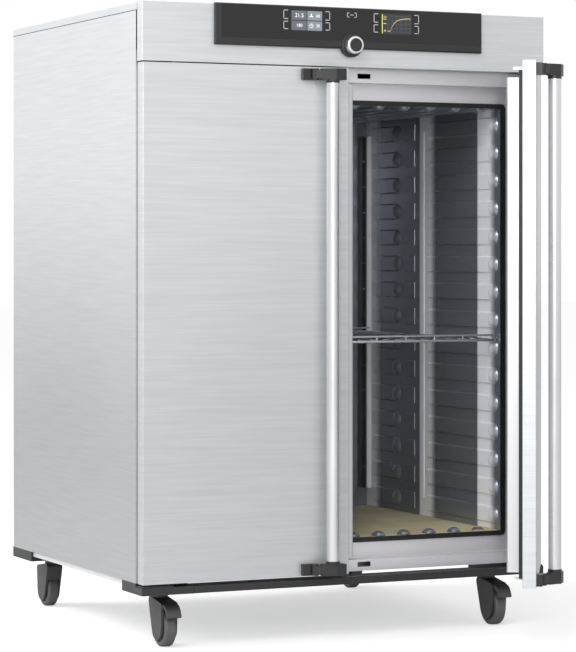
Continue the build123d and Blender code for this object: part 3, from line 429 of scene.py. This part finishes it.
for place_name in ("front_left", "front_right"):
    finish_of[f"brake_pedal_{place_name}"] = castor_plastic


def wear(piece, material):
    """Gives a piece one finish."""
    piece.data.materials.clear()
    piece.data.materials.append(material)


for node, solid in frame["nodes"].items():
    wear(solid, finish_of[node])
print("dressed", len(frame["nodes"]), "solids")

# %% [markdown]
# ## Making small pieces
#
# Screws, printed marks and the dark strip of painted shade in the cover's joint are made as
# meshes. Each helper builds its mesh in place, in the oven's own coordinates, and hands it to the
# body that carries it.


# %% Mesh helpers
def keep(mesh, name, material, body):
    """Turns a bmesh into a piece that rides on a body."""
    data = bpy.data.meshes.new(name)
    mesh.to_mesh(data)
    mesh.free()
    piece = bpy.data.objects.new(name, data)
    bpy.context.scene.collection.objects.link(piece)
    data.materials.append(material)
    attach(piece, body)
    return piece


def add_block(mesh, low, high):
    """A box between two corners."""
    low, high = Vector(low), Vector(high)
    middle = (low + high) / 2
    size = high - low
    matrix = Matrix.Translation(middle) @ Matrix.Diagonal((*size, 1))
    bmesh.ops.create_cube(mesh, size=1, matrix=matrix)


def facing(direction):
    """A matrix that turns the Z axis towards a direction."""
    return Vector(direction).to_track_quat("Z", "Y").to_matrix().to_4x4()


def add_disc(mesh, place, direction, radius, thickness, top=None, sides=24):
    """A round disc that stands on a place and rises along a direction."""
    matrix = Matrix.Translation(Vector(place)) @ facing(direction)
    matrix = matrix @ Matrix.Translation((0, 0, thickness / 2))
    bmesh.ops.create_cone(
        mesh,
        cap_ends=True,
        segments=sides,
        radius1=radius,
        radius2=radius if top is None else top,
        depth=thickness,
        matrix=matrix,
    )


# %% [markdown]
# ## Screws
#
# A pan-head screw has a low head with a crossed recess. A short disc with a tapered one on top
# gives the head. The recess is not cut: two dark bars that stand a tenth of a millimetre proud paint
# its shade. All heads on one body are one piece, and so are all their painted recess shades.

# %% Screw helper
screw_radius = 0.004
head_rise = 0.45
top_share = 0.7
recess_width = 0.2
recess_thickness = 0.0002


def screws(name, body, places, direction):
    """Pan-head screws at several places."""
    heads, marks = bmesh.new(), bmesh.new()
    height = screw_radius * head_rise
    half_height = height * 0.5
    direction = Vector(direction).normalized()
    turn = facing(direction)
    for place in places:
        waist = Vector(place) + direction * half_height
        add_disc(heads, place, direction, screw_radius, half_height)
        add_disc(heads, waist, direction, screw_radius, half_height, screw_radius * top_share)
        top = Matrix.Translation(Vector(place) + direction * height) @ turn
        # Painted shade: two dark bars stand in for the shade in the crossed recess.
        for angle in (0, pi / 2):
            size = (screw_radius, screw_radius * recess_width, recess_thickness, 1)
            cross = top @ Matrix.Rotation(angle, 4, "Z") @ Matrix.Diagonal(size)
            bmesh.ops.create_cube(marks, size=1, matrix=cross)
    keep(heads, name, bright_zinc, body)
    keep(marks, f"{name}_painted_recess_shade", black_rubber, body)
    return len(places)


rear_low, rear_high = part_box("rear_panel")
rear_inset = 0.018


def evenly(low, high, count):
    """Places at equal steps, with the screws' inset at both ends."""
    span = high - low - 2 * rear_inset
    return [low + rear_inset + k * span / (count - 1) for k in range(count)]


rear_columns = evenly(rear_low.x, rear_high.x, 5)
rear_rows = evenly(rear_low.z, rear_high.z, 6)
outer_columns = (rear_columns[0], rear_columns[-1])
outer_rows = (rear_rows[0], rear_rows[-1])
rear_screws = [(x, rear_high.y, z) for x in rear_columns for z in outer_rows]
rear_screws += [(x, rear_high.y, z) for z in rear_rows[1:-1] for x in outer_columns]
print("rear screws:", screws("rear_screws", "oven", rear_screws, (0, 1, 0)))

# %% [markdown]
# ## The line under the cover
#
# Where the cover meets the sides there is a joint, and its gap shows as a thin dark line of shade.
# A narrow black strip in the rubber finish paints that shade on both sides and at the back, and
# climbs the seam between the cover and the fascia. It stands a fifth of a millimetre proud.

# %% Cover joint
joint_height = 0.0016
strip_proud = 0.0002
strip_bite = 0.001
seam_width = 0.0012
seam_below_top = 0.003
cover_low, cover_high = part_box("top_cover")
# Painted shade: a black strip stands in for the shade in the cover's joint.
strip = bmesh.new()
low_z, high_z = cover_low.z - joint_height, cover_low.z + strip_proud
for hand in (-1, 1):
    near, far = sorted((hand * (cabinet_half - strip_bite), hand * (cabinet_half + strip_proud)))
    add_block(strip, (near, cover_low.y, low_z), (far, cover_high.y, high_z))
    add_block(
        strip,
        (near, cover_low.y - seam_width, low_z),
        (far, cover_low.y + strip_proud, cover_high.z - seam_below_top),
    )
add_block(
    strip,
    (-cabinet_half, cover_high.y - strip_bite, low_z),
    (cabinet_half, cover_high.y + strip_proud, high_z),
)
keep(strip, "cover_joint_painted_shade", black_rubber, "oven")
print("cover joint at", round(cover_low.z, 4))

# %% [markdown]
# ## Control panel
#
# The panel's print is pale grey: a square bracket beside each touch key, and a small key with a
# dash in the middle. Each mark is made of thin bars that stand a little proud.
# The left display shows four tiles with plain numbers and the right one a heating curve.

# %% Print the panel
lit_clouds = 120.0
lit_roughness = 0.4


def lit(name, colour, strength):
    """Shines a little by itself, as a display does. On the panel's print this glow is painted light.
    """
    material, tree, shader, place = new_finish(name, colour, lit_roughness)
    clouds = noise(tree, place, lit_clouds)
    colour_out = mixed(tree, clouds, tinted(colour, 0.9), tinted(colour, 1.1))
    tree.links.new(colour_out, shader.inputs["Base Color"])
    shader.inputs["Emission Color"].default_value = (*colour, 1)
    shader.inputs["Emission Strength"].default_value = strength
    return material


# Painted light: the panel's print glows a little, though print is no lamp.
print_with_painted_glow = lit("print_with_painted_glow", (0.42, 0.43, 0.45), 0.12)
tile_grey = lit("tile_grey", (0.10, 0.11, 0.125), 0.35)
tile_light = lit("tile_light", (0.19, 0.21, 0.24), 0.35)
number_white = lit("number_white", (0.75, 0.77, 0.8), 0.5)
curve_yellow = lit("curve_yellow", (0.75, 0.62, 0.12), 0.5)
grid_grey = lit("grid_grey", (0.12, 0.12, 0.12), 0.3)

panel_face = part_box("control_panel")[0].y
screen_low, screen_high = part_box("displays")
screen_width = 0.0946
screen_centres = (screen_low.x + screen_width / 2, screen_high.x - screen_width / 2)
print_rise, tile_rise, curve_rise, figure_rise = 0.00015, 0.0003, 0.0004, 0.0005
print_bite = 0.0002
line_width = 0.0022


def bar(mesh, x, z, rise=print_rise):
    """A flat bar on the panel between pairs of X and Z."""
    add_block(
        mesh,
        (min(x), panel_face - rise, min(z)),
        (max(x), panel_face + print_bite, max(z)),
    )


def bracket(mesh, spine, open_to, z):
    """A square bracket with its spine at one X and its open side towards another."""
    step = line_width if open_to > spine else -line_width
    bar(mesh, (spine, spine + step), z)
    bar(mesh, (spine, open_to), (z[0], z[0] + line_width))
    bar(mesh, (spine, open_to), (z[1] - line_width, z[1]))


marks = bmesh.new()
bracket_far, bracket_near = 0.0700, 0.0560
half_gap, foot = 0.0025, 0.003
screen_middle = (screen_low.z + screen_high.z) / 2
rows = ((screen_middle + half_gap, screen_high.z), (screen_low.z + foot, screen_middle - half_gap))
for centre in screen_centres:
    for side in (-1, 1):
        for row in rows:
            bracket(marks, centre + side * bracket_far, centre + side * bracket_near, row)
key_far, key_near = 0.015, 0.008
key_drop, key_height = 0.0005, 0.014
dash_half, dash_half_height = 0.0055, 0.001
key_row = (screen_high.z - key_drop - key_height, screen_high.z - key_drop)
for side in (-1, 1):
    bracket(marks, side * key_far, side * key_near, key_row)
key_middle = (key_row[0] + key_row[1]) / 2
bar(marks, (-dash_half, dash_half), (key_middle - dash_half_height, key_middle + dash_half_height))
keep(marks, "panel_marks", print_with_painted_glow, "oven")

# %% [markdown]
# The tiles are flat plates on the left display. Their numbers are text objects: letters keep their
# outline at any size that way, and the finished piece still turns into a mesh by itself.

# %% Fill the displays
figure_thickness = 0.00005


def number(name, text, x, z, size, material=number_white):
    """A printed number that faces forwards."""
    curve = bpy.data.curves.new(name, "FONT")
    curve.body = text
    curve.size = size
    curve.align_x = "CENTER"
    curve.align_y = "CENTER"
    curve.extrude = figure_thickness
    piece = bpy.data.objects.new(name, curve)
    piece.location = (x, panel_face - figure_rise, z)
    piece.rotation_euler = (pi / 2, 0, 0)
    curve.materials.append(material)
    bpy.context.scene.collection.objects.link(piece)
    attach(piece, "oven")
    return piece


left_centre, right_centre = screen_centres
gap = 0.0012
border = 0.0015
split = left_centre + 0.0005
left_edge, right_edge = screen_low.x + border, screen_low.x + screen_width - border
low_edge, high_edge = screen_low.z + border, screen_high.z - border
tiles = {
    "tile_upper_left": ((left_edge, split - gap), (screen_middle + gap, high_edge), tile_grey),
    "tile_lower_left": ((left_edge, split - gap), (low_edge, screen_middle - gap), tile_grey),
    "tile_upper_right": ((split + gap, right_edge), (screen_middle + gap, high_edge), tile_light),
    "tile_lower_right": ((split + gap, right_edge), (low_edge, screen_middle - gap), tile_light),
}
for name, (x, z, material) in tiles.items():
    plate = bmesh.new()
    bar(plate, x, z, tile_rise)
    keep(plate, name, material, "oven")

tile_middle = 0.0135
wide_tile, narrow_tile = left_centre - 0.0225, left_centre + 0.0335
upper_tile, lower_tile = screen_middle + tile_middle, screen_middle - tile_middle
number("number_temperature", "21.5", wide_tile, upper_tile, 0.0155)
number("number_setpoint", "180", wide_tile, lower_tile, 0.0125)
number("number_fan", "60", narrow_tile, upper_tile, 0.0115)
number("number_flap", "20", narrow_tile, lower_tile, 0.0115)

# %% [markdown]
# Beside the two right-hand numbers stand a three-bladed fan and a clock with two hands.

# %% Icons
forwards = (0, -1, 0)
blade_size = (0.0030, 0.0003, 0.0052)
blade_reach = 0.0032
clock_radius, face_radius = 0.0058, 0.0045
rim_thickness, face_thickness = 0.0002, 0.0001
hand_half, hand_thickness = 0.0005, 0.0001
minute_hand, hour_hand = 0.0035, 0.0028

icons = bmesh.new()
icon_centre = Vector((left_centre + 0.0135, panel_face - tile_rise, upper_tile))
for blade in range(3):
    turn = Matrix.Translation(icon_centre) @ Matrix.Rotation(blade * tau / 3, 4, "Y")
    size = Matrix.Translation((0, 0, blade_reach)) @ Matrix.Diagonal((*blade_size, 1))
    bmesh.ops.create_cube(icons, size=1, matrix=turn @ size)
clock_centre = icon_centre - Vector((0, 0, upper_tile - lower_tile))
add_disc(icons, clock_centre, forwards, clock_radius, rim_thickness, sides=32)
keep(icons, "display_icons", number_white, "oven")
clock_face = bmesh.new()
face_centre = clock_centre + rim_thickness * Vector(forwards)
add_disc(clock_face, face_centre, forwards, face_radius, face_thickness, sides=32)
keep(clock_face, "clock_face", tile_light, "oven")
hands = bmesh.new()
hand_face = clock_centre.y - 2 * rim_thickness
upright_hand = ((-hand_half, 0), (hand_half, minute_hand))
level_hand = ((0, -hand_half), (hour_hand, hand_half))
for low, high in (upright_hand, level_hand):
    add_block(
        hands,
        (clock_centre.x + low[0], hand_face - hand_thickness, clock_centre.z + low[1]),
        (clock_centre.x + high[0], hand_face, clock_centre.z + high[1]),
    )
keep(hands, "clock_hands", number_white, "oven")

# %% [markdown]
# The curve climbs to its set temperature and settles there. A formula draws it, so that it is
# smooth: a rise that fades out towards the set value.

# %% Draw the heating curve
chart_left, chart_right = right_centre - 0.027, right_centre + 0.043
chart_margin = 0.006
chart_low, chart_high = screen_low.z + chart_margin, screen_high.z - chart_margin
chart_width, chart_height = chart_right - chart_left, chart_high - chart_low
grid_rows, grid_columns = 4, 5
half_grid_line = 0.0002
chart = bmesh.new()
for step in range(grid_rows + 1):
    z = chart_low + step * chart_height / grid_rows
    bar(chart, (chart_left, chart_right), (z - half_grid_line, z + half_grid_line), tile_rise)
for step in range(grid_columns + 1):
    x = chart_left + step * chart_width / grid_columns
    bar(chart, (x - half_grid_line, x + half_grid_line), (chart_low, chart_high), tile_rise)
keep(chart, "chart_grid", grid_grey, "oven")

heating = bmesh.new()
curve_steps = 40
half_line = 0.0007
start_share, steepness = 0.12, 5.5
lowest, climb = 0.05, 0.82
lower, upper = [], []
for step in range(curve_steps + 1):
    share = step / curve_steps
    x = chart_left + share * chart_width
    climbed = 1 - exp(-steepness * max(0.0, share - start_share))
    z = chart_low + (lowest + climb * climbed) * chart_height
    lower.append(heating.verts.new((x, panel_face - figure_rise, z - half_line)))
    upper.append(heating.verts.new((x, panel_face - figure_rise, z + half_line)))
for step in range(curve_steps):
    heating.faces.new((lower[step], lower[step + 1], upper[step + 1], upper[step]))
scale_edge = (right_centre - 0.0445, right_centre - 0.0425)
label_edges = (right_centre - 0.040, right_centre - 0.031)
label_line = 0.0015
bar(heating, scale_edge, (low_edge, high_edge), curve_rise)
for row in (screen_middle + 0.012, screen_middle):
    bar(heating, label_edges, (row, row + label_line), curve_rise)
keep(heating, "heating_curve", curve_yellow, "oven")
label_middle = sum(label_edges) / 2
label_size, label_inset = 0.0062, 0.003
number("number_top", "200", label_middle, chart_high - label_inset, label_size, curve_yellow)
number("number_bottom", "20", label_middle, chart_low + label_inset, label_size, number_white)
print("panel printed")

# %% [markdown]
# ## The knob's disc
#
# The knob is a bright ring around a dark disc. The disc is slightly hollow, where the fingertip
# goes, so it is made of rings that sink towards the middle.

# %% Knob disc
knob_low, knob_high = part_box("turn_knob")
knob_centre = (knob_low + knob_high) / 2
disc_radius = 0.0184
disc_sink, dish_depth, rim_depth = 0.0012, 0.0007, 0.0008
disc = bmesh.new()
disc_rings, disc_sides = 6, 48
face_y = knob_low.y + disc_sink
rings = []
for ring in range(1, disc_rings + 1):
    share = ring / disc_rings
    y = face_y + dish_depth * (1 - share * share)
    rings.append(
        [
            disc.verts.new(
                (
                    knob_centre.x + disc_radius * share * cos(tau * k / disc_sides),
                    y,
                    knob_centre.z + disc_radius * share * sin(tau * k / disc_sides),
                )
            )
            for k in range(disc_sides)
        ]
    )
centre = disc.verts.new((knob_centre.x, face_y + dish_depth, knob_centre.z))
for k in range(disc_sides):
    after = (k + 1) % disc_sides
    disc.faces.new((centre, rings[0][k], rings[0][after]))
    for inner, outer in zip(rings, rings[1:]):
        disc.faces.new((inner[k], outer[k], outer[after], inner[after]))
rim = [disc.verts.new((vertex.co.x, face_y + rim_depth, vertex.co.z)) for vertex in rings[-1]]
for k in range(disc_sides):
    after = (k + 1) % disc_sides
    disc.faces.new((rings[-1][k], rim[k], rim[after], rings[-1][after]))
bmesh.ops.recalc_face_normals(disc, faces=disc.faces)
knob_disc = keep(disc, "knob_disc", black_plastic, "knob")
knob_disc.data.polygons.foreach_set("use_smooth", [True] * len(knob_disc.data.polygons))

# %% [markdown]
# ## White studio
#
# The oven stands on a pale floor in front of white. The world lights it softly from all sides, a
# large lamp from the upper left gives the light a direction, and a smaller one reaches into the
# open chamber. A third stands far to the left and lights mostly the cabinet's side. The camera
# sees the world as plain white, and so do mirrors and gloss. The floor shines a little by itself,
# but only for the camera. That lifts it to white out to the horizon and keeps the oven's shadow.

# %% Floor
floor_mesh = bmesh.new()
floor_reach = 40
floor_grey = 0.80
floor_lift = 0.48
bmesh.ops.create_grid(floor_mesh, x_segments=1, y_segments=1, size=floor_reach)
floor_data = bpy.data.meshes.new("floor")
floor_mesh.to_mesh(floor_data)
floor_mesh.free()
floor = bpy.data.objects.new("floor", floor_data)
bpy.context.scene.collection.objects.link(floor)

floor_material = bpy.data.materials.new("floor")
floor_material.use_nodes = True
tree = floor_material.node_tree
tree.nodes.clear()
floor_output = tree.nodes.new("ShaderNodeOutputMaterial")
floor_paint = tree.nodes.new("ShaderNodeBsdfDiffuse")
floor_paint.inputs["Color"].default_value = (floor_grey, floor_grey, floor_grey, 1)
floor_glow = tree.nodes.new("ShaderNodeEmission")
floor_glow.inputs["Color"].default_value = (1, 1, 1, 1)
rays = tree.nodes.new("ShaderNodeLightPath")
glow = calculate(tree, "MULTIPLY", rays.outputs["Is Camera Ray"], floor_lift)
tree.links.new(glow, floor_glow.inputs["Strength"])
floor_sum = tree.nodes.new("ShaderNodeAddShader")
tree.links.new(floor_paint.outputs[0], floor_sum.inputs[0])
tree.links.new(floor_glow.outputs[0], floor_sum.inputs[1])
tree.links.new(floor_sum.outputs[0], floor_output.inputs["Surface"])
floor_data.materials.append(floor_material)

# %% World and lamps
soft_strength, seen_strength = 0.62, 1.0
world = bpy.data.worlds.new("studio")
bpy.context.scene.world = world
world.use_nodes = True
tree = world.node_tree
tree.nodes.clear()
output = tree.nodes.new("ShaderNodeOutputWorld")
soft_light = tree.nodes.new("ShaderNodeBackground")
soft_light.inputs["Color"].default_value = (1, 1, 1, 1)
soft_light.inputs["Strength"].default_value = soft_strength
white = tree.nodes.new("ShaderNodeBackground")
white.inputs["Color"].default_value = (1, 1, 1, 1)
white.inputs["Strength"].default_value = seen_strength
rays = tree.nodes.new("ShaderNodeLightPath")
seen = calculate(tree, "MAXIMUM", rays.outputs["Is Camera Ray"], rays.outputs["Is Glossy Ray"])
seen = calculate(tree, "MAXIMUM", seen, rays.outputs["Is Transmission Ray"])
blend = tree.nodes.new("ShaderNodeMixShader")
tree.links.new(seen, blend.inputs["Fac"])
tree.links.new(soft_light.outputs[0], blend.inputs[1])
tree.links.new(white.outputs[0], blend.inputs[2])
tree.links.new(blend.outputs[0], output.inputs["Surface"])


def lamp(name, place, target, size, power):
    """A square lamp that looks at a point."""
    data = bpy.data.lights.new(name, "AREA")
    data.size = size
    data.energy = power
    piece = bpy.data.objects.new(name, data)
    piece.location = place
    direction = Vector(target) - Vector(place)
    piece.rotation_euler = direction.to_track_quat("-Z", "Y").to_euler()
    bpy.context.scene.collection.objects.link(piece)
    return piece


oven_middle = (0, 0.2, 0.9)
lamp("key_lamp", (-3.5, -4.0, 4.5), oven_middle, 3.0, 170)
lamp("side_lamp", (-5.5, 2.2, 4.0), (-0.6, 0.3, 1.2), 2.5, 190)
lamp("chamber_lamp", (-1.7, -3.9, 1.7), (0.3, 0.2, 0.9), 1.0, 34)

bpy.context.scene.view_settings.view_transform = "Standard"
